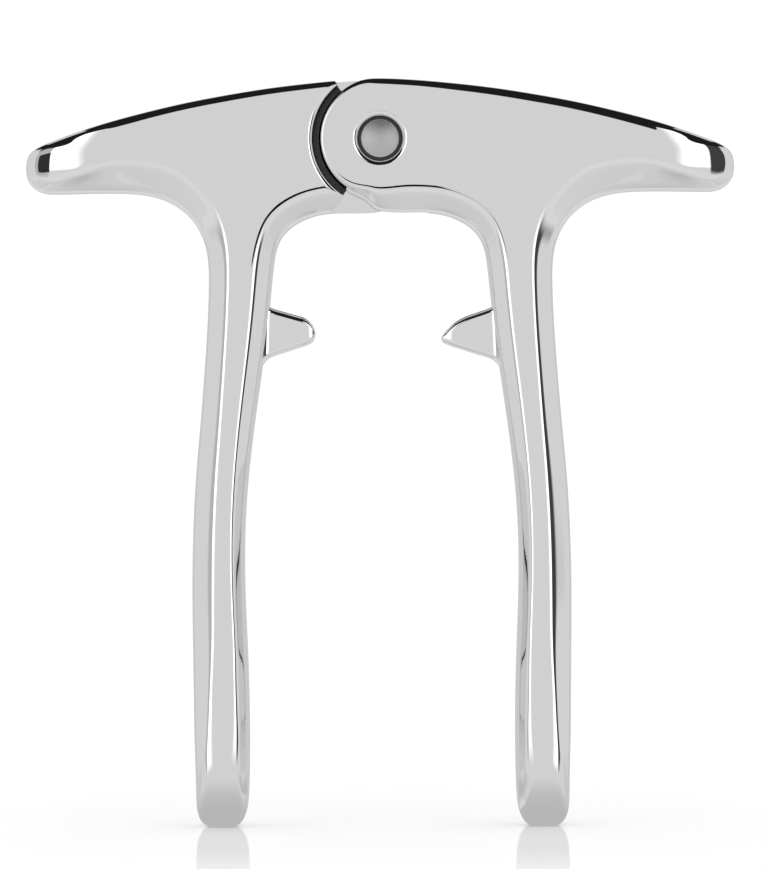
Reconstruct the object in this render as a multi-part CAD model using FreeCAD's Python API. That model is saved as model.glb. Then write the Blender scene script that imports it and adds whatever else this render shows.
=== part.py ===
"""Two-armed hand nutcracker, standing on its leg ends.

Millimetres. X across, Y front (-) to back (+), Z up. The origin is on the floor, midway between the feet.
Each arm is one casting: a horn going outwards, half of a lapped knuckle, a leg and an inward tooth.
The right arm's lobe is the front half of the knuckle and the left arm's is the rear half.
"""

import math
import os

import FreeCAD
import Part

# ---------------------------------------------------------------- driving dimensions
HALF_DEPTH = 9.0  # from the middle plane to the flat front or back of an arm
PIVOT_HEIGHT = 154.8  # axis of the pin above the floor

LOBE_RADIUS = 13.8  # round end of an arm at the pivot
RECESS_RADIUS = 15.1  # hollow that the other arm's lobe turns in
RECESS_RIM = 1.3  # rounding of the hollow's mouth
LAP_GAP = 0.6  # between the two lapped faces
LOWER_STOP = 34.0  # degrees from straight down to the end of the hollow's lower wall
UPPER_STOP = 38.0  # degrees from straight up to the end of its upper wall
LOWER_CUT_END = 300.0  # degrees from +X at which the cut below the hollow ends
UPPER_CUT_END = 60.0  # and the cut above it
CUT_REACH = 3.0 * LOBE_RADIUS  # how far these cuts go from the pivot

SHANK_RADIUS = 3.0
SHANK_CLEARANCE = 0.05  # around the shank in the arm that turns on it
HEAD_RADIUS = 4.3
HEAD_DOME = 0.9  # rise of the dome
HEAD_SUNK = 0.1  # top of the dome below the arm's flat face
HOLE_RADIUS = 4.9  # round well that a head sits in
HOLE_RIM = 1.4  # rounding of the well's mouth
WELL_FLOOR = -6.9  # y of the well's floor in the front arm
MOUTH_BREAK = 0.01  # how far a rounded mouth starts above the flat face
AXIAL_PLAY = 0.05
TAIL_RADIUS = 2.0  # thin end of the pin, pressed into the cap
TAIL_LENGTH = 1.0

WASHER_RADIUS = 10.5
WASHER_BORE = 3.1

TOOTH_HALF_DEPTH = 4.6
TOOTH_EDGE = 1.0
ROOT_EDGE_MAX = 20.0  # a tooth's straight root edge is shorter than this and its outline is longer
IN_PLANE = 0.01  # an edge whose ends differ less than this in y lies in the front or the back of a tooth

# Places of the two control points between the break of the flat face and the side wall.
AFTER_BREAK = 0.3
BEFORE_SIDE = 0.7

# Outline of the right arm, all the way round. Each row is: silhouette x, z; edge of the flat face x, z;
# share of the way out at which the flat face breaks; how far it has rolled back there; how far it has
# rolled back where it meets the side wall.
TOP_EDGE = [
    (79.8, 148.4, 63.5, 150.9, 0.83, 2.9, 4.9),
    (79.3, 151.2, 63.2, 151.6, 0.84, 2.8, 4.8),
    (77.3, 153.1, 62.6, 152.7, 0.85, 2.3, 4.4),
    (73.0, 154.9, 61.5, 153.9, 0.83, 1.3, 3.5),
    (67.0, 157.0, 59.8, 155.4, 0.75, 0.25, 2.4),
    (60.1, 159.1, 57.4, 156.9, 0.50, 0.0, 1.9),
    (52.0, 161.2, 51.0, 158.8, 0.45, 0.0, 1.8),
    (43.2, 163.2, 42.7, 160.8, 0.45, 0.0, 1.8),
    (34.0, 164.9, 33.6, 162.55, 0.45, 0.0, 1.8),
    (25.0, 166.3, 24.7, 164.05, 0.45, 0.0, 1.8),
    (16.0, 167.35, 15.8, 165.2, 0.45, 0.0, 1.8),
    (8.0, 168.05, 7.8, 166.05, 0.45, 0.0, 1.7),
    (0.0, 168.4, 0.0, 166.5, 0.45, 0.0, 1.5),
]
# The lobe: angle round the pivot, then the flat face's radius and the same three shape numbers.
LOBE = [
    (108.0, 12.2, 0.50, 0.0, 1.3),
    (126.0, 12.3, 0.50, 0.0, 1.2),
    (144.0, 12.4, 0.50, 0.0, 1.1),
    (162.0, 12.4, 0.50, 0.0, 1.1),
    (180.0, 12.4, 0.50, 0.0, 1.1),
    (198.0, 12.3, 0.50, 0.0, 1.2),
    (216.0, 11.9, 0.48, 0.0, 1.4),
    (234.0, 11.3, 0.46, 0.0, 1.7),
    (246.0, 10.8, 0.42, 0.0, 2.1),
]
ARCH = [
    (-3.2, 140.95, -2.2, 144.6, 0.36, 0.0, 2.5),
    (-1.2, 139.25, -0.3, 144.45, 0.33, 0.0, 2.9),
    (2.0, 138.5, 2.6, 144.65, 0.31, 0.0, 3.2),
    (5.6, 138.4, 5.6, 145.0, 0.30, 0.0, 3.3),
    (9.5, 138.4, 9.3, 145.0, 0.30, 0.0, 3.4),
    (13.3, 138.05, 13.5, 144.6, 0.30, 0.0, 3.4),
    (16.6, 137.1, 18.0, 143.4, 0.30, 0.0, 3.4),
    (19.6, 135.5, 22.2, 141.2, 0.30, 0.0, 3.4),
    (22.0, 133.2, 26.0, 137.6, 0.30, 0.0, 3.4),
    (23.4, 130.3, 28.2, 132.8, 0.30, 0.0, 3.3),
    (24.1, 126.6, 29.3, 127.8, 0.28, 0.0, 3.2),
]
INNER_LEG = [
    (24.7, 121.0, 29.95, 121.8, 0.28, 0.0, 3.2),
    (25.6, 112.5, 30.65, 113.2, 0.27, 0.0, 3.2),
    (27.0, 102.0, 31.8, 102.6, 0.27, 0.0, 3.2),
    (28.7, 90.0, 33.1, 90.6, 0.27, 0.0, 3.1),
    (30.1, 78.0, 34.1, 78.5, 0.27, 0.0, 3.0),
    (30.9, 65.0, 34.6, 65.2, 0.27, 0.0, 2.9),
    (30.85, 52.0, 34.5, 52.2, 0.28, 0.0, 2.9),
    (30.4, 40.0, 34.3, 41.2, 0.32, 0.0, 2.9),
    (30.1, 30.0, 34.2, 31.2, 0.32, 0.0, 2.9),
    (30.0, 21.5, 34.3, 24.2, 0.40, 0.15, 3.0),
    (30.05, 14.0, 34.7, 19.6, 0.50, 0.4, 3.3),
]
FOOT = [
    (30.25, 7.5, 35.2, 17.6, 0.64, 0.9, 3.7),
    (30.8, 3.3, 35.6, 16.7, 0.74, 1.4, 4.0),
    (32.2, 0.8, 35.95, 16.2, 0.78, 1.6, 4.2),
    (34.1, -0.2, 36.25, 16.0, 0.80, 1.7, 4.2),
    (36.1, -0.5, 36.5, 15.95, 0.80, 1.7, 4.2),
    (38.2, -0.2, 36.75, 16.05, 0.80, 1.7, 4.2),
    (40.4, 0.8, 37.0, 16.3, 0.78, 1.6, 4.2),
    (41.7, 3.3, 37.25, 16.9, 0.74, 1.4, 4.0),
    (42.05, 7.5, 37.4, 18.0, 0.64, 0.9, 3.7),
]
OUTER_LEG = [
    (42.2, 14.0, 37.5, 20.2, 0.50, 0.4, 3.3),
    (42.4, 21.5, 37.45, 24.8, 0.36, 0.15, 3.2),
    (42.5, 30.0, 37.35, 31.6, 0.26, 0.0, 3.1),
    (42.6, 40.0, 37.15, 41.0, 0.20, 0.0, 3.1),
    (42.7, 52.0, 36.95, 52.2, 0.20, 0.0, 3.1),
    (42.5, 65.0, 36.75, 65.0, 0.20, 0.0, 3.1),
    (41.8, 78.5, 36.15, 78.2, 0.20, 0.0, 3.1),
    (40.75, 90.5, 35.3, 90.2, 0.20, 0.0, 3.1),
    (39.8, 102.0, 34.5, 101.8, 0.20, 0.0, 3.1),
    (39.05, 113.0, 33.8, 112.9, 0.20, 0.0, 3.1),
    (38.7, 122.5, 33.4, 123.2, 0.20, 0.0, 3.1),
]
UNDERSIDE = [
    (39.1, 129.3, 33.75, 131.6, 0.20, 0.0, 3.1),
    (40.8, 134.3, 35.8, 138.4, 0.20, 0.0, 3.3),
    (43.8, 138.2, 39.6, 144.0, 0.20, 0.0, 3.7),
    (48.3, 141.2, 45.2, 149.0, 0.21, 0.0, 4.1),
    (54.0, 142.7, 52.2, 151.0, 0.22, 0.0, 4.3),
    (60.5, 143.05, 58.9, 151.5, 0.24, 0.0, 4.3),
    (67.5, 143.0, 61.8, 151.2, 0.38, 0.2, 4.3),
    (73.0, 142.9, 63.0, 150.8, 0.56, 0.8, 4.5),
    (76.9, 143.4, 63.4, 150.6, 0.70, 1.7, 4.7),
    (79.2, 145.5, 63.5, 150.6, 0.78, 2.5, 4.9),
]

# Teeth: outline x, z from the upper root round the tip to the lower root; both roots lie inside the leg.
BLUNT_TOOTH = [
    (27.5, 119.6),
    (25.2, 117.9),
    (23.0, 116.3),
    (17.9, 114.9),
    (15.3, 113.2),
    (15.0, 110.6),
    (16.6, 108.6),
    (23.2, 106.8),
    (26.2, 105.0),
    (28.6, 102.6),
]
POINTED_TOOTH = [
    (27.5, 119.4),
    (25.4, 117.6),
    (23.0, 116.2),
    (18.4, 114.6),
    (15.4, 112.6),
    (13.7, 110.3),
    (14.4, 108.8),
    (20.4, 106.9),
    (25.6, 104.9),
    (28.8, 102.0),
]


def pole_profile(row):
    """Control points across an arm, from its front face round the side to its back face."""
    out_x, out_z, in_x, in_z, share, roll, drop = row
    edge = HALF_DEPTH - drop
    broken = HALF_DEPTH - roll
    half = [
        (0.0, HALF_DEPTH),
        (0.5 * share, HALF_DEPTH),
        (share, broken),
        (share + AFTER_BREAK * (1.0 - share), broken + AFTER_BREAK * (edge - broken)),
        (share + BEFORE_SIDE * (1.0 - share), broken + BEFORE_SIDE * (edge - broken)),
        (1.0, edge),
        (1.0, 0.5 * edge),
    ]
    whole = [(t, -y) for t, y in half] + [(1.0, 0.0)] + [(t, y) for t, y in reversed(half)]
    return [FreeCAD.Vector(in_x + t * (out_x - in_x), y, in_z + t * (out_z - in_z)) for t, y in whole]


def lobe_row(angle, flat_radius, share, roll, drop):
    across = math.cos(math.radians(angle))
    up = math.sin(math.radians(angle))
    return (
        LOBE_RADIUS * across,
        PIVOT_HEIGHT + LOBE_RADIUS * up,
        flat_radius * across,
        PIVOT_HEIGHT + flat_radius * up,
        share,
        roll,
        drop,
    )


def outline_rows():
    lobe = [lobe_row(*entry) for entry in LOBE]
    return TOP_EDGE + lobe + ARCH + INNER_LEG + FOOT + OUTER_LEG + UNDERSIDE


def side_surface(rows):
    """One smooth surface round the whole arm, closed along the outline and open across it."""
    profiles = [pole_profile(row) for row in rows]
    middle = len(profiles[0]) // 2
    loop = [profile[middle] for profile in profiles]
    parameters = [0.0]
    for here, there in zip(loop, loop[1:] + loop[:1]):
        parameters.append(parameters[-1] + math.sqrt(here.distanceToPoint(there)))
    lines = []
    for index in range(len(profiles[0])):
        line = Part.BSplineCurve()
        line.interpolate(Points=[p[index] for p in profiles], PeriodicFlag=True, Parameters=parameters)
        lines.append(line)
    poles = [list(column) for column in zip(*[line.getPoles() for line in lines])]
    across = len(profiles[0])
    spans = across - 3
    surface = Part.BSplineSurface()
    surface.buildFromPolesMultsKnots(
        poles,
        lines[0].getMultiplicities(),
        [4] + [1] * (spans - 1) + [4],
        lines[0].getKnots(),
        [float(i) for i in range(spans + 1)],
        True,
        False,
        3,
        3,
    )
    return surface


def floor_block():
    """Takes the rounded end of a leg down to a flat that it can stand on."""
    width = 2.0 * HALF_DEPTH
    return Part.makeBox(PIVOT_HEIGHT, 2.0 * width, width, FreeCAD.Vector(0, -width, -width))


def arm_blank():
    """The whole right arm without its tooth, before its knuckle is cut to half thickness."""
    surface = side_surface(outline_rows())
    side = surface.toShape()
    bounds = surface.bounds()
    caps = []
    for value in (bounds[2], bounds[3]):
        rim = Part.Wire([surface.vIso(value).toShape()])
        caps.append(Part.Face(rim))
    shell = Part.makeShell([side] + caps)
    shell.sewShape()
    solid = Part.Solid(shell)
    if solid.Volume < 0:
        solid.reverse()
    return solid.cut(floor_block())


def turned(profile):
    """A solid turned round the pivot from (radius, y) corners.

    A corner of four numbers is reached by an arc through the point that its last two give.
    """
    edges = []
    for here, there in zip(profile, profile[1:] + profile[:1]):
        start = FreeCAD.Vector(here[0], here[1], PIVOT_HEIGHT)
        end = FreeCAD.Vector(there[0], there[1], PIVOT_HEIGHT)
        if len(there) == 4:
            through = FreeCAD.Vector(there[2], there[3], PIVOT_HEIGHT)
            edges.append(Part.Arc(start, through, end).toShape())
        else:
            edges.append(Part.makeLine(start, end))
    face = Part.Face(Part.Wire(edges))
    return face.revolve(FreeCAD.Vector(0, 0, PIVOT_HEIGHT), FreeCAD.Vector(0, 1, 0), 360)


def sunk_cutter(floor, radius, rim):
    """Cuts a round hollow from the front down to y = floor, with its mouth rounded over."""
    crest = -HALF_DEPTH - MOUTH_BREAK
    outside = -2.0 * HALF_DEPTH
    wide = radius + rim
    turn = rim * math.sqrt(0.5)
    return turned(
        [
            (0.0, floor),
            (radius, floor),
            (radius, crest + rim),
            (wide, crest, wide - turn, crest + rim - turn),
            (wide, outside),
            (0.0, outside),
        ]
    )


def wedge_cutter(floor, start, end):
    """Cuts everything in front of y = floor between two directions from the pivot, in degrees from +X."""
    corners = [FreeCAD.Vector(0, floor, PIVOT_HEIGHT)]
    for angle in (start, end):
        across = CUT_REACH * math.cos(math.radians(angle))
        up = CUT_REACH * math.sin(math.radians(angle))
        corners.append(FreeCAD.Vector(across, floor, PIVOT_HEIGHT + up))
    face = Part.Face(Part.makePolygon(corners + corners[:1]))
    return face.extrude(FreeCAD.Vector(0, -2.0 * HALF_DEPTH - floor, 0))


def lap_cutter():
    """What the left arm loses at the front so that the right arm's lobe can turn in it."""
    floor = 0.5 * LAP_GAP
    hollow = sunk_cutter(floor, RECESS_RADIUS, RECESS_RIM)
    lower = wedge_cutter(floor, 270.0 - LOWER_STOP, LOWER_CUT_END)
    upper = wedge_cutter(floor, UPPER_CUT_END, 90.0 + UPPER_STOP)
    return hollow.fuse([lower, upper])


def tooth(outline):
    """A tooth with softened edges, its root inside the leg."""
    curve = Part.BSplineCurve()
    curve.interpolate([FreeCAD.Vector(x, -TOOTH_HALF_DEPTH, z) for x, z in outline])
    back = Part.makeLine(curve.EndPoint, curve.StartPoint)
    face = Part.Face(Part.Wire([curve.toShape(), back]))
    block = face.extrude(FreeCAD.Vector(0, 2.0 * TOOTH_HALF_DEPTH, 0))
    rims = [e for e in block.Edges if e.BoundBox.YLength < IN_PLANE and e.Length > ROOT_EDGE_MAX]
    return block.makeFillet(TOOTH_EDGE, rims)


def to_left(shape):
    """The right-hand shape mirrored to the left."""
    return shape.mirror(FreeCAD.Vector(0, 0, 0), FreeCAD.Vector(1, 0, 0))


def to_back(shape):
    """The same shape turned half a turn about the vertical through the pivot, front to back."""
    turned_round = shape.copy()
    turned_round.rotate(FreeCAD.Vector(0, 0, 0), FreeCAD.Vector(0, 0, 1), 180)
    return turned_round


def bore(radius):
    return Part.makeCylinder(
        radius,
        4.0 * HALF_DEPTH,
        FreeCAD.Vector(0, -2.0 * HALF_DEPTH, PIVOT_HEIGHT),
        FreeCAD.Vector(0, 1, 0),
    )


def right_arm():
    """Its lobe is the front half of the knuckle, and it turns on the pin."""
    arm = arm_blank().fuse(tooth(POINTED_TOOTH))
    arm = arm.cut(to_back(lap_cutter()))
    arm = arm.cut(sunk_cutter(WELL_FLOOR, HOLE_RADIUS, HOLE_RIM))
    return arm.cut(bore(SHANK_RADIUS + SHANK_CLEARANCE))


def left_arm():
    """Its lobe is the rear half of the knuckle, and it holds the pin tight."""
    arm = to_left(arm_blank().fuse(tooth(BLUNT_TOOTH)))
    arm = arm.cut(lap_cutter())
    arm = arm.cut(to_back(sunk_cutter(WELL_FLOOR, HOLE_RADIUS, HOLE_RIM)))
    return arm.cut(bore(SHANK_RADIUS))


def head_profile(under):
    """Corners of a domed head at the front, from its edge inwards, with its flat underside at y = under."""
    top = -HALF_DEPTH + HEAD_SUNK
    shoulder = top + HEAD_DOME
    radius = (HEAD_RADIUS**2 + HEAD_DOME**2) / (2.0 * HEAD_DOME)
    half_way = 0.5 * HEAD_RADIUS
    sag = radius - math.sqrt(radius**2 - half_way**2)
    return [(HEAD_RADIUS, under), (HEAD_RADIUS, shoulder), (0.0, top, half_way, top + sag)]


def pivot_pin():
    """Domed front head, shank through both arms and a thin tail at the back."""
    under = WELL_FLOOR - AXIAL_PLAY
    shank_end = -WELL_FLOOR
    return turned(
        head_profile(under)
        + [
            (0.0, shank_end + TAIL_LENGTH),
            (TAIL_RADIUS, shank_end + TAIL_LENGTH),
            (TAIL_RADIUS, shank_end),
            (SHANK_RADIUS, shank_end),
            (SHANK_RADIUS, under),
        ]
    )


def pin_cap():
    """The rear head, pressed on to the pin's tail."""
    floor = WELL_FLOOR - TAIL_LENGTH
    cap = turned(
        head_profile(WELL_FLOOR)
        + [
            (0.0, floor),
            (TAIL_RADIUS, floor),
            (TAIL_RADIUS, WELL_FLOOR),
        ]
    )
    return to_back(cap)


def lap_washer():
    """Lies on the left arm's lapped face, just clear of the right arm's."""
    back = 0.5 * LAP_GAP
    front = -back + AXIAL_PLAY
    return turned(
        [
            (WASHER_BORE, front),
            (WASHER_RADIUS, front),
            (WASHER_RADIUS, back),
            (WASHER_BORE, back),
        ]
    )


PARTS = {
    "left_arm": left_arm,
    "right_arm": right_arm,
    "pivot_pin": pivot_pin,
    "pin_cap": pin_cap,
    "lap_washer": lap_washer,
}

os.makedirs("parts", exist_ok=True)
for name, make in PARTS.items():
    make().exportStep("parts/" + name + ".step")
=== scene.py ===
import math

import bmesh
import bpy
import numpy as np
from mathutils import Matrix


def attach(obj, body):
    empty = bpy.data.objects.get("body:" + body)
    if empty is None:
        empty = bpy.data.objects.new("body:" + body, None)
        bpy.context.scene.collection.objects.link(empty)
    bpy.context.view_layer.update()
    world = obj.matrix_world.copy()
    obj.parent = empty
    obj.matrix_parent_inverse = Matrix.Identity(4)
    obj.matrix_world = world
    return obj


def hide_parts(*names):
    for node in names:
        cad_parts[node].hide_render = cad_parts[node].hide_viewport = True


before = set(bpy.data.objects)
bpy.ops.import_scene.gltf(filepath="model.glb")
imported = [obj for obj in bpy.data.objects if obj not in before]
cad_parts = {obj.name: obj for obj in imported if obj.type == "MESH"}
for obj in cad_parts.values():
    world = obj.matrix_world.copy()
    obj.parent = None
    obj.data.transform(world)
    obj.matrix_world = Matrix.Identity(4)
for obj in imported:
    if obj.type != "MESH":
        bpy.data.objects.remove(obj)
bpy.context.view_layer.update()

# ---------------------------------------------------------------- view, in metres and degrees
VIEW_DISTANCE = 1.2
VIEW_CENTRE = (0.0005, 0.0883)
VIEW_ROLL = 0.25
VIEW_WIDTH = 0.1733  # what the picture spans from side to side at the tool
SENSOR = 36.0  # in millimetres

# ---------------------------------------------------------------- studio; a tone of 1 is white
WALL_TONE = 0.68
BOX_TONE = 1.5
RIGHT_STRIP_TONE = 0.05
LEFT_STRIP_TONE = 0.46
REAR_TONE = 0.6
WINDOW_TONE = 1.12
LOW_WALL_TONE = 0.72
GROUND_TONE = 0.64
OVERHEAD_TONE = 0.012
EVEN_GREY = 0.62  # what light that the chrome has mirrored more than once meets
BACKDROP_TONE = 1.04  # what the camera sees behind the tool
LIGHTING_TONE = 1.34  # what lights the matt surfaces
FOOT_PLACE = 0.0361  # from the middle of the tool to the middle of a foot, in metres

# ---------------------------------------------------------------- fineness of the meshes
ALONG = 8  # samples between neighbouring rows of an arm's outline
ACROSS = 5  # samples in each span across an arm
TOOTH_STEPS = 8  # sections between neighbouring rows of a tooth
CORNER_STEPS = 8  # steps round each corner of a tooth's section
TURNS = 256  # steps round a turned shape
RIM_POINTS = 17  # over the rounded mouth of a hollow
DOME_POINTS = 24  # from the middle of a pin's dome to its edge
EDGE_POINTS = 6  # round that edge
SHARP_ANGLE = 28.0  # degrees above which an edge between two faces stays sharp


# ---------------------------------------------------------------- shape of an arm, in millimetres
HALF_DEPTH = 9.0
PIVOT_HEIGHT = 154.8
LOBE_RADIUS = 13.8
RECESS_RADIUS = 15.1
RECESS_RIM = 1.3
LAP_GAP = 0.6
LOWER_STOP = 34.0
UPPER_STOP = 38.0
LOWER_CUT_END = 300.0
UPPER_CUT_END = 60.0
CUT_REACH = 3.0 * LOBE_RADIUS
SHANK_RADIUS = 3.0
HOLE_RADIUS = 4.9
HOLE_RIM = 1.4
WELL_FLOOR = -6.9
MOUTH_BREAK = 0.01
POLISHING = 0.02  # how much deeper the room beside a hollow is than the hollow
HEAD_RADIUS = 4.3
HEAD_DOME = 0.9
HEAD_SUNK = 0.1
HEAD_EDGE = 0.25
DOME_START = 0.03  # radius of the flat spot at the middle of a dome
AXIAL_PLAY = 0.05
TAIL_LENGTH = 1.0
TOOTH_EDGE = 1.3
TIP_EDGE_SHARE = 0.9  # most of a section's half height that its rounded corner may take

# Shares of the way from a flat face's break to the side wall at which it is shaped.
AFTER_BREAK = 0.3
BEFORE_SIDE = 0.7

# Each row, going round the right arm's outline: silhouette x, z; edge of the flat face x, z; share of the
# way out at which the flat face breaks; roll-back there; roll-back where it meets the side wall.
TOP_EDGE = [
    (79.8, 148.4, 63.5, 150.9, 0.83, 2.9, 4.9),
    (79.3, 151.2, 63.2, 151.6, 0.84, 2.8, 4.8),
    (77.3, 153.1, 62.6, 152.7, 0.85, 2.3, 4.4),
    (73.0, 154.9, 61.5, 153.9, 0.83, 1.3, 3.5),
    (67.0, 157.0, 59.8, 155.4, 0.75, 0.25, 2.4),
    (60.1, 159.1, 57.4, 156.9, 0.50, 0.0, 1.9),
    (52.0, 161.2, 51.0, 158.8, 0.45, 0.0, 1.8),
    (43.2, 163.2, 42.7, 160.8, 0.45, 0.0, 1.8),
    (34.0, 164.9, 33.6, 162.55, 0.45, 0.0, 1.8),
    (25.0, 166.3, 24.7, 164.05, 0.45, 0.0, 1.8),
    (16.0, 167.35, 15.8, 165.2, 0.45, 0.0, 1.8),
    (8.0, 168.05, 7.8, 166.05, 0.45, 0.0, 1.7),
    (0.0, 168.4, 0.0, 166.5, 0.45, 0.0, 1.5),
]
# The lobe: angle round the pivot, then the flat face's radius and the same three shape numbers.
LOBE = [
    (108.0, 12.2, 0.50, 0.0, 1.3),
    (126.0, 12.3, 0.50, 0.0, 1.2),
    (144.0, 12.4, 0.50, 0.0, 1.1),
    (162.0, 12.4, 0.50, 0.0, 1.1),
    (180.0, 12.4, 0.50, 0.0, 1.1),
    (198.0, 12.3, 0.50, 0.0, 1.2),
    (216.0, 11.9, 0.48, 0.0, 1.4),
    (234.0, 11.3, 0.46, 0.0, 1.7),
    (246.0, 10.8, 0.42, 0.0, 2.1),
]
ARCH = [
    (-3.2, 140.95, -2.2, 144.6, 0.36, 0.0, 2.5),
    (-1.2, 139.25, -0.3, 144.45, 0.33, 0.0, 2.9),
    (2.0, 138.5, 2.6, 144.65, 0.31, 0.0, 3.2),
    (5.6, 138.4, 5.6, 145.0, 0.30, 0.0, 3.3),
    (9.5, 138.4, 9.3, 145.0, 0.30, 0.0, 3.4),
    (13.3, 138.05, 13.5, 144.6, 0.30, 0.0, 3.4),
    (16.6, 137.1, 18.0, 143.4, 0.30, 0.0, 3.4),
    (19.6, 135.5, 22.2, 141.2, 0.30, 0.0, 3.4),
    (22.0, 133.2, 26.0, 137.6, 0.30, 0.0, 3.4),
    (23.4, 130.3, 28.2, 132.8, 0.30, 0.0, 3.3),
    (24.1, 126.6, 29.3, 127.8, 0.28, 0.0, 3.2),
]
INNER_LEG = [
    (24.7, 121.0, 29.95, 121.8, 0.28, 0.0, 3.2),
    (25.6, 112.5, 30.65, 113.2, 0.27, 0.0, 3.2),
    (27.0, 102.0, 31.8, 102.6, 0.27, 0.0, 3.2),
    (28.7, 90.0, 33.1, 90.6, 0.27, 0.0, 3.1),
    (30.1, 78.0, 34.1, 78.5, 0.27, 0.0, 3.0),
    (30.9, 65.0, 34.6, 65.2, 0.27, 0.0, 2.9),
    (30.85, 52.0, 34.5, 52.2, 0.28, 0.0, 2.9),
    (30.4, 40.0, 34.3, 41.2, 0.32, 0.0, 2.9),
    (30.1, 30.0, 34.2, 31.2, 0.32, 0.0, 2.9),
    (30.0, 21.5, 34.3, 24.2, 0.40, 0.15, 3.0),
    (30.05, 14.0, 34.7, 19.6, 0.50, 0.4, 3.3),
]
FOOT = [
    (30.25, 7.5, 35.2, 17.6, 0.64, 0.9, 3.7),
    (30.8, 3.3, 35.6, 16.7, 0.74, 1.4, 4.0),
    (32.2, 0.8, 35.95, 16.2, 0.78, 1.6, 4.2),
    (34.1, -0.2, 36.25, 16.0, 0.80, 1.7, 4.2),
    (36.1, -0.5, 36.5, 15.95, 0.80, 1.7, 4.2),
    (38.2, -0.2, 36.75, 16.05, 0.80, 1.7, 4.2),
    (40.4, 0.8, 37.0, 16.3, 0.78, 1.6, 4.2),
    (41.7, 3.3, 37.25, 16.9, 0.74, 1.4, 4.0),
    (42.05, 7.5, 37.4, 18.0, 0.64, 0.9, 3.7),
]
OUTER_LEG = [
    (42.2, 14.0, 37.5, 20.2, 0.50, 0.4, 3.3),
    (42.4, 21.5, 37.45, 24.8, 0.36, 0.15, 3.2),
    (42.5, 30.0, 37.35, 31.6, 0.26, 0.0, 3.1),
    (42.6, 40.0, 37.15, 41.0, 0.20, 0.0, 3.1),
    (42.7, 52.0, 36.95, 52.2, 0.20, 0.0, 3.1),
    (42.5, 65.0, 36.75, 65.0, 0.20, 0.0, 3.1),
    (41.8, 78.5, 36.15, 78.2, 0.20, 0.0, 3.1),
    (40.75, 90.5, 35.3, 90.2, 0.20, 0.0, 3.1),
    (39.8, 102.0, 34.5, 101.8, 0.20, 0.0, 3.1),
    (39.05, 113.0, 33.8, 112.9, 0.20, 0.0, 3.1),
    (38.7, 122.5, 33.4, 123.2, 0.20, 0.0, 3.1),
]
UNDERSIDE = [
    (39.1, 129.3, 33.75, 131.6, 0.20, 0.0, 3.1),
    (40.8, 134.3, 35.8, 138.4, 0.20, 0.0, 3.3),
    (43.8, 138.2, 39.6, 144.0, 0.20, 0.0, 3.7),
    (48.3, 141.2, 45.2, 149.0, 0.21, 0.0, 4.1),
    (54.0, 142.7, 52.2, 151.0, 0.22, 0.0, 4.3),
    (60.5, 143.05, 58.9, 151.5, 0.24, 0.0, 4.3),
    (67.5, 143.0, 61.8, 151.2, 0.38, 0.2, 4.3),
    (73.0, 142.9, 63.0, 150.8, 0.56, 0.8, 4.5),
    (76.9, 143.4, 63.4, 150.6, 0.70, 1.7, 4.7),
    (79.2, 145.5, 63.5, 150.6, 0.78, 2.5, 4.9),
]

# Each row is a section of a tooth, from its root in the leg to its tip: upper x, z; lower x, z; half depth.
BLUNT_TOOTH = [
    (27.8, 120.4, 28.9, 101.8, 6.4),
    (26.2, 118.5, 26.9, 103.9, 5.3),
    (25.2, 117.3, 25.6, 105.4, 4.65),
    (23.8, 116.65, 24.0, 106.2, 4.6),
    (21.6, 116.0, 21.6, 106.95, 4.6),
    (19.0, 115.25, 19.0, 107.8, 4.6),
    (17.2, 114.7, 17.1, 108.4, 4.55),
    (15.8, 113.6, 15.6, 109.1, 4.4),
    (15.0, 112.4, 14.95, 110.1, 4.1),
    (14.8, 111.5, 14.8, 111.1, 3.8),
]
POINTED_TOOTH = [
    (27.8, 120.2, 29.0, 101.4, 6.4),
    (26.2, 118.3, 27.0, 103.4, 5.3),
    (25.2, 117.1, 25.7, 104.8, 4.65),
    (23.8, 116.45, 24.1, 105.6, 4.6),
    (21.6, 115.7, 21.6, 106.35, 4.6),
    (19.0, 114.8, 19.0, 107.2, 4.6),
    (16.9, 113.7, 16.8, 107.9, 4.5),
    (15.2, 112.2, 15.1, 108.5, 4.3),
    (14.1, 110.9, 14.0, 109.1, 4.0),
    (13.7, 110.1, 13.7, 109.8, 3.7),
]


def closed_spline(knots, values, wanted):
    """Smooth closed curve through values at knots[:-1], read at the wanted parameters."""
    steps = np.diff(knots)
    count = len(steps)
    before = np.roll(steps, 1)
    slope = (np.roll(values, -1, axis=0) - values) / steps[:, None]
    system = np.zeros((count, count))
    index = np.arange(count)
    system[index, index] = 2.0 * (before + steps)
    system[index, (index - 1) % count] = before
    system[index, (index + 1) % count] = steps
    bend = np.linalg.solve(system, 6.0 * (slope - np.roll(slope, 1, axis=0)))
    at = np.clip(np.searchsorted(knots, wanted, side="right") - 1, 0, count - 1)
    far = (wanted - knots[at])[:, None]
    width = steps[at][:, None]
    near = width - far
    after = (at + 1) % count
    curved = (bend[at] * near**3 + bend[after] * far**3) / (6.0 * width)
    start = (values[at] / width - bend[at] * width / 6.0) * near
    end = (values[after] / width - bend[after] * width / 6.0) * far
    return curved + start + end


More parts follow.
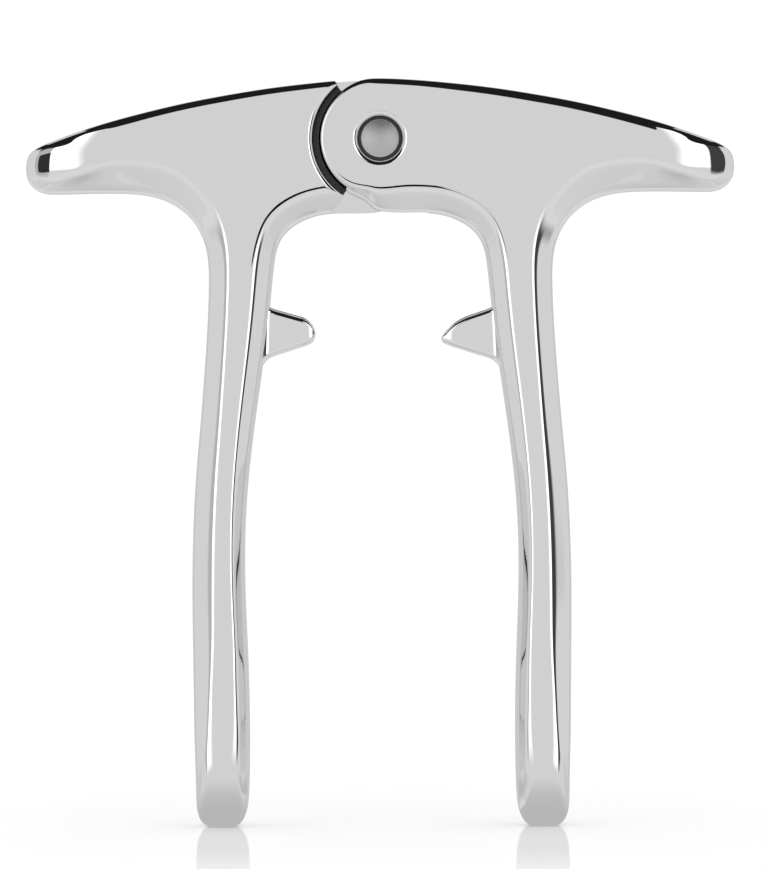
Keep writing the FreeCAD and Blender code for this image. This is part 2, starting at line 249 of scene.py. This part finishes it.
def blending(count, per_span):
    """How much each of the count control points adds at each sample of a clamped cubic curve."""
    spans = count - 3
    knots = np.concatenate([[0.0] * 3, np.arange(spans + 1.0), [float(spans)] * 3])
    at = np.linspace(0.0, spans, spans * per_span + 1)
    basis = np.zeros((len(at), len(knots) - 1))
    for i in range(len(knots) - 1):
        basis[:, i] = (knots[i] <= at) & (at < knots[i + 1])
    basis[-1, count - 1] = 1.0
    for degree in (1, 2, 3):
        raised = np.zeros((len(at), basis.shape[1] - 1))
        for i in range(raised.shape[1]):
            left = knots[i + degree] - knots[i]
            right = knots[i + degree + 1] - knots[i + 1]
            if left > 0:
                raised[:, i] += (at - knots[i]) / left * basis[:, i]
            if right > 0:
                raised[:, i] += (knots[i + degree + 1] - at) / right * basis[:, i + 1]
        basis = raised
    return basis


def pole_profile(row):
    """Control points across an arm, from the edge of its front face round the side to its back face."""
    out_x, out_z, in_x, in_z, share, roll, drop = row
    edge = HALF_DEPTH - drop
    broken = HALF_DEPTH - roll
    half = [
        (0.0, HALF_DEPTH),
        (0.5 * share, HALF_DEPTH),
        (share, broken),
        (share + AFTER_BREAK * (1.0 - share), broken + AFTER_BREAK * (edge - broken)),
        (share + BEFORE_SIDE * (1.0 - share), broken + BEFORE_SIDE * (edge - broken)),
        (1.0, edge),
        (1.0, 0.5 * edge),
    ]
    whole = [(t, -y) for t, y in half] + [(1.0, 0.0)] + [(t, y) for t, y in reversed(half)]
    return [(in_x + t * (out_x - in_x), y, in_z + t * (out_z - in_z)) for t, y in whole]


def lobe_row(angle, flat_radius, share, roll, drop):
    """Row of the outline for a place on the round lobe."""
    across = math.cos(math.radians(angle))
    up = math.sin(math.radians(angle))
    return (
        LOBE_RADIUS * across,
        PIVOT_HEIGHT + LOBE_RADIUS * up,
        flat_radius * across,
        PIVOT_HEIGHT + flat_radius * up,
        share,
        roll,
        drop,
    )


def mesh_object(name, points, faces, flat=()):
    """Object from points in millimetres; the faces listed in flat are shaded flat."""
    mesh = bpy.data.meshes.new(name)
    mesh.from_pydata([tuple(0.001 * c for c in p) for p in points], [], faces)
    mesh.update()
    mesh.polygons.foreach_set("use_smooth", [i not in flat for i in range(len(faces))])
    made = bpy.data.objects.new(name, mesh)
    bpy.context.scene.collection.objects.link(made)
    return made


def tube(name, grid):
    """Surface through a grid of points, closed along its first index, with flat caps on its two ends."""
    around, across = grid.shape[:2]
    points = grid.reshape(-1, 3)
    faces = []
    for i in range(around):
        j = (i + 1) % around
        for k in range(across - 1):
            faces.append((i * across + k, j * across + k, j * across + k + 1, i * across + k + 1))
    caps = {len(faces), len(faces) + 1}
    faces.append([i * across for i in reversed(range(around))])
    faces.append([i * across + across - 1 for i in range(around)])
    return mesh_object(name, points, faces, caps)


def arm_mesh(name):
    """Right arm without its tooth, cuts and holes."""
    lobe = [lobe_row(*entry) for entry in LOBE]
    rows = TOP_EDGE + lobe + ARCH + INNER_LEG + FOOT + OUTER_LEG + UNDERSIDE
    poles = np.array([pole_profile(row) for row in rows])
    middle = poles[:, poles.shape[1] // 2]
    gaps = np.linalg.norm(np.roll(middle, -1, axis=0) - middle, axis=1)
    knots = np.concatenate([[0.0], np.cumsum(np.sqrt(gaps))])
    wanted = np.concatenate(
        [np.linspace(a, b, ALONG, endpoint=False) for a, b in zip(knots, knots[1:])]
    )
    columns = closed_spline(knots, poles.reshape(len(rows), -1), wanted)
    columns = columns.reshape(len(wanted), -1, 3)
    grid = np.einsum("sk,nkc->nsc", blending(poles.shape[1], ACROSS), columns)
    return tube(name, grid)


def tooth_mesh(name, sections):
    """Rounded-rectangle sections lofted from the root to the tip."""
    table = np.array(sections)
    spans = len(table) - 1
    fine = np.linspace(0, spans, spans * TOOTH_STEPS + 1)
    loops = []
    for up_x, up_z, low_x, low_z, depth in through_rows(table, fine):
        tall = 0.5 * math.hypot(up_x - low_x, up_z - low_z)
        corner = min(TOOTH_EDGE, TIP_EDGE_SHARE * tall)
        loop = []
        for quarter, (upward, backward) in enumerate([(1, 1), (-1, 1), (-1, -1), (1, -1)]):
            for step in range(CORNER_STEPS + 1):
                angle = math.radians(90.0 * (quarter + step / CORNER_STEPS))
                t = upward * (tall - corner) + corner * math.cos(angle)
                y = backward * (depth - corner) + corner * math.sin(angle)
                share = 0.5 + 0.5 * t / tall
                loop.append((low_x + share * (up_x - low_x), y, low_z + share * (up_z - low_z)))
        loops.append(loop)
    grid = np.array(loops).transpose(1, 0, 2)
    return tube(name, grid)


def through_rows(table, fine):
    """Catmull-Rom curve through the rows of a table."""
    padded = np.vstack([2 * table[0] - table[1], table, 2 * table[-1] - table[-2]])
    out = []
    for value in fine:
        at = min(int(value), len(table) - 2)
        t = value - at
        a, b, c, d = padded[at : at + 4]
        out.append(
            b
            + 0.5 * t * (c - a)
            + t * t * (a - 2.5 * b + 2.0 * c - 0.5 * d)
            + t**3 * (1.5 * (b - c) + 0.5 * (d - a))
        )
    return out


def lathe(name, profile):
    """Solid turned round the pivot's axis from (radius, y) points, with flat ends."""
    turns = np.linspace(0.0, 2.0 * math.pi, TURNS, endpoint=False)
    grid = np.array(
        [
            [(r * math.cos(a), y, PIVOT_HEIGHT + r * math.sin(a)) for r, y in profile]
            for a in turns
        ]
    )
    return tube(name, grid)


def sunk_cutter(name, floor, radius, rim):
    """Cuts a round hollow from the front down to y = floor, its mouth rounded over."""
    crest = -HALF_DEPTH - MOUTH_BREAK
    wide = radius + rim
    arc = [
        (wide - rim * math.cos(a), crest + rim - rim * math.sin(a))
        for a in np.linspace(0.0, 0.5 * math.pi, RIM_POINTS)
    ]
    made = lathe(name, [(radius, floor)] + arc + [(wide, -2.0 * HALF_DEPTH)])
    # The second material, rough and painted near black as shade, goes on everything below the rounded mouth.
    for polygon in made.data.polygons:
        polygon.material_index = int(polygon.center.y > 0.001 * (crest + rim))
    return made


def wedge_cutter(name, floor, start, end):
    """Cuts everything in front of y = floor between two directions from the pivot."""
    ring = [(0.0, PIVOT_HEIGHT)]
    for angle in (start, end):
        across = CUT_REACH * math.cos(math.radians(angle))
        up = CUT_REACH * math.sin(math.radians(angle))
        ring.append((across, PIVOT_HEIGHT + up))
    points = [(x, floor, z) for x, z in ring] + [(x, -2.0 * HALF_DEPTH, z) for x, z in ring]
    faces = [(0, 1, 2), (5, 4, 3), (0, 3, 4, 1), (1, 4, 5, 2), (2, 5, 3, 0)]
    return mesh_object(name, points, faces, set(range(5)))


def floor_block():
    """Takes the rounded end of a leg down to a flat that it can stand on."""
    deep = 2.0 * HALF_DEPTH
    ring = [(0.0, -deep), (PIVOT_HEIGHT, -deep), (PIVOT_HEIGHT, deep), (0.0, deep)]
    points = [(x, y, -deep) for x, y in ring] + [(x, y, 0.0) for x, y in ring]
    faces = [(3, 2, 1, 0), (4, 5, 6, 7), (0, 1, 5, 4), (1, 2, 6, 5), (2, 3, 7, 6), (3, 0, 4, 7)]
    return mesh_object("floor_block", points, faces, set(range(6)))


def outward(thing):
    """Points every face away from the inside."""
    made = bmesh.new()
    made.from_mesh(thing.data)
    bmesh.ops.recalc_face_normals(made, faces=made.faces)
    made.to_mesh(thing.data)
    made.free()


def combine(base, tool, operation):
    """Joins or cuts and drops the tool."""
    outward(tool)
    for material in base.data.materials:
        tool.data.materials.append(material)
    change = base.modifiers.new("combine", "BOOLEAN")
    change.operation = operation
    change.solver = "EXACT"
    change.object = tool
    bpy.context.view_layer.update()
    result = bpy.data.meshes.new_from_object(
        base.evaluated_get(bpy.context.evaluated_depsgraph_get())
    )
    base.modifiers.clear()
    base.data = result
    bpy.data.objects.remove(tool)


def mirrored(thing):
    """Makes a right-hand shape left-handed."""
    for vertex in thing.data.vertices:
        vertex.co.x = -vertex.co.x
    thing.data.flip_normals()


def turned_round(thing):
    """Gives a shape half a turn about the vertical axis."""
    for vertex in thing.data.vertices:
        vertex.co.x = -vertex.co.x
        vertex.co.y = -vertex.co.y
    return thing


def lap(arm, rear):
    """Halves the knuckle: the hollow for the other lobe and the room beside it."""
    floor = 0.5 * LAP_GAP
    tools = [
        sunk_cutter("hollow", floor, RECESS_RADIUS, RECESS_RIM),
        wedge_cutter("lower", floor + POLISHING, 270.0 - LOWER_STOP, LOWER_CUT_END),
        wedge_cutter("upper", floor + POLISHING, UPPER_CUT_END, 90.0 + UPPER_STOP),
    ]
    for tool in tools:
        combine(arm, turned_round(tool) if rear else tool, "DIFFERENCE")


def crisp(thing):
    """Shades smooth except over real corners."""
    thing.data.set_sharp_from_angle(angle=math.radians(SHARP_ANGLE))
    tidy = thing.modifiers.new("flats", "WEIGHTED_NORMAL")
    tidy.keep_sharp = True


def pin_mesh(name, under, end):
    """Domed head at the front with a shank behind it that ends at y = end."""
    top = -HALF_DEPTH + HEAD_SUNK
    ball = (HEAD_RADIUS**2 + HEAD_DOME**2) / (2.0 * HEAD_DOME)
    reach = HEAD_RADIUS - HEAD_EDGE
    radii = np.linspace(DOME_START, reach, DOME_POINTS)
    dome = [(r, top + ball - math.sqrt(ball**2 - r**2)) for r in radii]
    shoulder = dome[-1][1] + HEAD_EDGE
    corner = [
        (reach + HEAD_EDGE * math.sin(a), shoulder - HEAD_EDGE * math.cos(a))
        for a in np.linspace(0.25 * math.pi, 0.5 * math.pi, EDGE_POINTS)
    ]
    shank = [(HEAD_RADIUS, under), (SHANK_RADIUS, under), (SHANK_RADIUS, end)]
    made = lathe(name, dome + corner + shank)
    outward(made)
    crisp(made)
    return made


def whole_arm(name, sections, left, polished, raw_and_shaded):
    """One arm; the walls and floors of its sunk hollows are rougher, as cast, and painted near black as
    shade.
    """
    arm = arm_mesh(name)
    arm.data.materials.append(polished)
    arm.data.materials.append(raw_and_shaded)
    outward(arm)
    combine(arm, tooth_mesh("tooth", sections), "UNION")
    combine(arm, floor_block(), "DIFFERENCE")
    if left:
        mirrored(arm)
    lap(arm, rear=not left)
    well = sunk_cutter("well", WELL_FLOOR, HOLE_RADIUS, HOLE_RIM)
    combine(arm, turned_round(well) if left else well, "DIFFERENCE")
    crisp(arm)
    return arm


# ---------------------------------------------------------------- small node helpers
class Graph:
    """Adds nodes to one node tree."""

    def __init__(self, tree):
        self.tree = tree

    def node(self, kind, **settings):
        """New node with these settings."""
        made = self.tree.nodes.new(kind)
        for name, value in settings.items():
            setattr(made, name, value)
        return made

    def link(self, source, target):
        """Joins two sockets."""
        self.tree.links.new(source, target)

    def maths(self, operation, first, second=None):
        """Sum, product or the like of sockets or numbers."""
        made = self.node("ShaderNodeMath", operation=operation)
        for socket, value in zip(made.inputs, (first, second)):
            if value is None:
                continue
            if isinstance(value, (int, float)):
                socket.default_value = value
            else:
                self.link(value, socket)
        return made.outputs[0]

    def step(self, value, low, high):
        """0 below low, 1 above high, smooth between."""
        made = self.node("ShaderNodeMapRange", interpolation_type="SMOOTHSTEP")
        made.inputs["From Min"].default_value = low
        made.inputs["From Max"].default_value = high
        self.link(value, made.inputs["Value"])
        return made.outputs[0]

    def band(self, value, rise, fall):
        """1 between two edges and 0 outside them, smooth over each edge."""
        return self.maths("MULTIPLY", self.step(value, *rise), self.step(value, *fall))

    def mix(self, share, first, second):
        """The first value where share is 0, the second where it is 1."""
        made = self.node("ShaderNodeMix", data_type="FLOAT")
        self.link(share, made.inputs[0])
        for socket, value in zip((made.inputs[2], made.inputs[3]), (first, second)):
            if isinstance(value, (int, float)):
                socket.default_value = value
            else:
                self.link(value, socket)
        return made.outputs[0]


# ---------------------------------------------------------------- studio
def studio_world():
    """Grey studio for the chrome to mirror: soft boxes, a strip on each side, black overhead."""
    world = bpy.data.worlds.new("studio")
    bpy.context.scene.world = world
    world.use_nodes = True
    world.node_tree.nodes.clear()
    graph = Graph(world.node_tree)
    where = graph.node("ShaderNodeTexCoord").outputs["Generated"]
    split = graph.node("ShaderNodeSeparateXYZ")
    graph.link(where, split.inputs[0])
    x, y, z = split.outputs
    to_degrees = 180.0 / math.pi
    side = graph.maths("MULTIPLY", graph.maths("ARCTAN2", x, graph.maths("MULTIPLY", y, -1.0)), to_degrees)
    height = graph.maths("MULTIPLY", graph.maths("ARCSINE", z), to_degrees)
    away = graph.maths("ABSOLUTE", side)

    # Angles in degrees: side and away from straight in front of the tool, height from level.
    boxes = graph.band(away, (10.0, 24.0), (49.0, 46.0))
    boxes = graph.maths("MULTIPLY", boxes, graph.step(height, -9.0, -3.0))
    belt = graph.mix(boxes, WALL_TONE, BOX_TONE)
    belt = graph.mix(graph.band(side, (43.5, 46.0), (70.5, 66.5)), belt, RIGHT_STRIP_TONE)
    belt = graph.mix(graph.band(side, (-44.5, -47.0), (-70.0, -65.0)), belt, LEFT_STRIP_TONE)
    belt = graph.mix(graph.step(away, 100.0, 120.0), belt, REAR_TONE)
    window = graph.band(height, (3.1, 3.5), (5.8, 5.4))
    window = graph.maths("MULTIPLY", graph.step(away, 164.0, 168.0), window)
    belt = graph.mix(window, belt, WINDOW_TONE)
    belt = graph.mix(graph.step(height, -9.0, -20.0), belt, LOW_WALL_TONE)
    belt = graph.mix(graph.step(height, -58.0, -72.0), belt, GROUND_TONE)

    # The height above which the studio is black.
    low_edge = graph.mix(graph.step(side, -1.0, 2.0), 18.0, 6.5)
    low_edge = graph.mix(graph.step(away, 7.0, 14.0), low_edge, 26.0)
    low_edge = graph.mix(graph.step(away, 78.0, 92.0), low_edge, 40.0)
    above = graph.step(graph.maths("SUBTRACT", height, low_edge), 0.0, 1.5)
    tone = graph.mix(above, belt, OVERHEAD_TONE)

    path = graph.node("ShaderNodeLightPath")
    tone = graph.mix(graph.step(path.outputs["Ray Depth"], 2.4, 2.6), tone, EVEN_GREY)
    seen = graph.mix(path.outputs["Is Camera Ray"], tone, BACKDROP_TONE)
    seen = graph.mix(path.outputs["Is Diffuse Ray"], seen, LIGHTING_TONE)
    background = graph.node("ShaderNodeBackground")
    graph.link(seen, background.inputs["Color"])
    output = graph.node("ShaderNodeOutputWorld")
    graph.link(background.outputs[0], output.inputs["Surface"])


def floor():
    """White table top, glossy round the feet."""
    bpy.ops.mesh.primitive_plane_add(size=12.0, location=(0, 0, 0))
    top = bpy.context.object
    top.name = "floor"
    material = bpy.data.materials.new("white_table")
    material.use_nodes = True
    material.node_tree.nodes.clear()
    graph = Graph(material.node_tree)
    matt = graph.node("ShaderNodeBsdfDiffuse")
    matt.inputs["Color"].default_value = (0.8, 0.8, 0.8, 1)
    gloss = graph.node("ShaderNodeBsdfGlossy")
    gloss.inputs["Color"].default_value = (0.95, 0.95, 0.95, 1)
    gloss.inputs["Roughness"].default_value = 0.07
    split = graph.node("ShaderNodeSeparateXYZ")
    graph.link(graph.node("ShaderNodeTexCoord").outputs["Object"], split.inputs[0])
    near = graph.band(split.outputs["Y"], (-0.20, -0.06), (0.2, 0.05))
    near = graph.maths("MULTIPLY", near, graph.step(graph.maths("ABSOLUTE", split.outputs["X"]), 0.10, 0.06))
    grazing = graph.node("ShaderNodeFresnel")
    grazing.inputs["IOR"].default_value = 1.45
    share = graph.maths("MULTIPLY", near, graph.maths("MULTIPLY", grazing.outputs[0], 0.75))
    both = graph.node("ShaderNodeMixShader")
    graph.link(share, both.inputs[0])
    graph.link(matt.outputs[0], both.inputs[1])
    graph.link(gloss.outputs[0], both.inputs[2])
    output = graph.node("ShaderNodeOutputMaterial")
    graph.link(both.outputs[0], output.inputs["Surface"])
    top.data.materials.append(material)
    top.visible_glossy = False


def card(name, middle, width, tall, top_tone, bottom_tone, tilt=90.0, soft=0.05):
    """Card seen in mirror images only, shaded from top to bottom; soft is the share its edges fade over."""
    bpy.ops.mesh.primitive_plane_add(size=1.0, location=middle)
    made = bpy.context.object
    made.name = name
    made.scale = (width, tall, 1.0)
    made.rotation_euler = (math.radians(tilt), 0, 0)
    material = bpy.data.materials.new(name)
    material.use_nodes = True
    material.node_tree.nodes.clear()
    graph = Graph(material.node_tree)
    split = graph.node("ShaderNodeSeparateXYZ")
    graph.link(graph.node("ShaderNodeTexCoord").outputs["Object"], split.inputs[0])
    glow = graph.node("ShaderNodeEmission")
    tone = top_tone
    if bottom_tone != top_tone:
        tone = graph.mix(graph.step(split.outputs["Y"], -0.5, 0.5), bottom_tone, top_tone)
    depth = graph.node("ShaderNodeLightPath").outputs["Ray Depth"]
    graph.link(graph.mix(graph.step(depth, 1.4, 1.6), tone, EVEN_GREY), glow.inputs["Color"])
    inside = [
        graph.step(graph.maths("ABSOLUTE", split.outputs[axis]), 0.5, 0.5 - soft) for axis in ("X", "Y")
    ]
    faded = graph.node("ShaderNodeMixShader")
    graph.link(graph.maths("MULTIPLY", *inside), faded.inputs[0])
    graph.link(graph.node("ShaderNodeBsdfTransparent").outputs[0], faded.inputs[1])
    graph.link(glow.outputs[0], faded.inputs[2])
    output = graph.node("ShaderNodeOutputMaterial")
    graph.link(faded.outputs[0], output.inputs["Surface"])
    made.data.materials.append(material)
    made.visible_camera = False
    made.visible_diffuse = False
    made.visible_shadow = False


def cards():
    """Black line along the arch, mark on the left horn's tip, mirrored floor and the shade at the feet."""
    card("black_card", (-0.005, -0.150, 0.1365), 0.040, 0.015, 0.0, 0.0)
    card("tip_card", (-0.1245, -0.045, 0.1525), 0.026, 0.028, 0.03, 0.03)
    card("grey_card", (0, -0.150, -0.080), 3.000, 0.140, 0.68, 0.64)
    card("low_card", (0, -0.150, -0.300), 3.000, 0.300, 0.64, 0.60)
    for place, middle in (("left", -FOOT_PLACE), ("right", FOOT_PLACE)):
        card(place + "_foot_shade", (middle, 0, -0.001), 0.110, 0.130, 0.50, 0.50, tilt=0.0, soft=0.45)


def camera():
    """Looks level at the front of the tool."""
    made = bpy.data.objects.new("camera", bpy.data.cameras.new("camera"))
    made.data.sensor_fit = "HORIZONTAL"
    made.data.sensor_width = SENSOR
    made.data.lens = SENSOR * VIEW_DISTANCE / VIEW_WIDTH
    made.location = (VIEW_CENTRE[0], -VIEW_DISTANCE, VIEW_CENTRE[1])
    made.rotation_euler = (math.radians(90), math.radians(VIEW_ROLL), 0)
    bpy.context.scene.collection.objects.link(made)
    bpy.context.scene.camera = made


# ---------------------------------------------------------------- materials
def metal(name, tone, low, high, grain):
    """Metal whose polish varies a little over the surface."""
    material = bpy.data.materials.new(name)
    material.use_nodes = True
    graph = Graph(material.node_tree)
    shader = material.node_tree.nodes["Principled BSDF"]
    shader.inputs["Base Color"].default_value = (tone, tone, tone, 1)
    shader.inputs["Metallic"].default_value = 1.0
    place = graph.node("ShaderNodeTexCoord").outputs["Object"]
    noise = graph.node("ShaderNodeTexNoise")
    noise.inputs["Scale"].default_value = grain
    noise.inputs["Detail"].default_value = 3.0
    graph.link(place, noise.inputs["Vector"])
    spread = graph.node("ShaderNodeMapRange")
    spread.inputs["To Min"].default_value = low
    spread.inputs["To Max"].default_value = high
    graph.link(noise.outputs["Fac"], spread.inputs["Value"])
    graph.link(spread.outputs[0], shader.inputs["Roughness"])
    return material


def plastic(name):
    """Milky nylon with a faint grain."""
    material = metal(name, 0.82, 0.5, 0.62, 1200.0)
    shader = material.node_tree.nodes["Principled BSDF"]
    shader.inputs["Metallic"].default_value = 0.0
    return material


def replace_part(piece, body, name):
    """Puts a piece on a body in place of the part of that name."""
    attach(piece, body)
    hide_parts(name)


studio_world()
floor()
cards()
camera()
chrome = metal("polished_chrome", 0.93, 0.015, 0.035, 900.0)
# The hollows' walls are rougher as cast; their near-black tone is painted shade for the dark groove and the
# dark ring round the pin.
cast_and_shaded = metal("cast_recess_painted_shade", 0.07, 0.16, 0.28, 1500.0)
steel = metal("satin_steel", 0.66, 0.45, 0.55, 2500.0)
nylon = plastic("washer_nylon")
for body, sections in (("left", BLUNT_TOOTH), ("right", POINTED_TOOTH)):
    arm = whole_arm(body + "_arm_polished", sections, body == "left", chrome, cast_and_shaded)
    replace_part(arm, body, body + "_arm")
pin = pin_mesh("pivot_pin_turned", WELL_FLOOR - AXIAL_PLAY, -WELL_FLOOR + TAIL_LENGTH)
cap = turned_round(pin_mesh("pin_cap_turned", WELL_FLOOR - TAIL_LENGTH, WELL_FLOOR))
for piece, name in ((pin, "pivot_pin"), (cap, "pin_cap")):
    piece.data.materials.append(steel)
    replace_part(piece, "left", name)
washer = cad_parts["lap_washer"].data
washer.materials.clear()
washer.materials.append(nylon)

bpy.context.scene.view_settings.view_transform = "Standard"
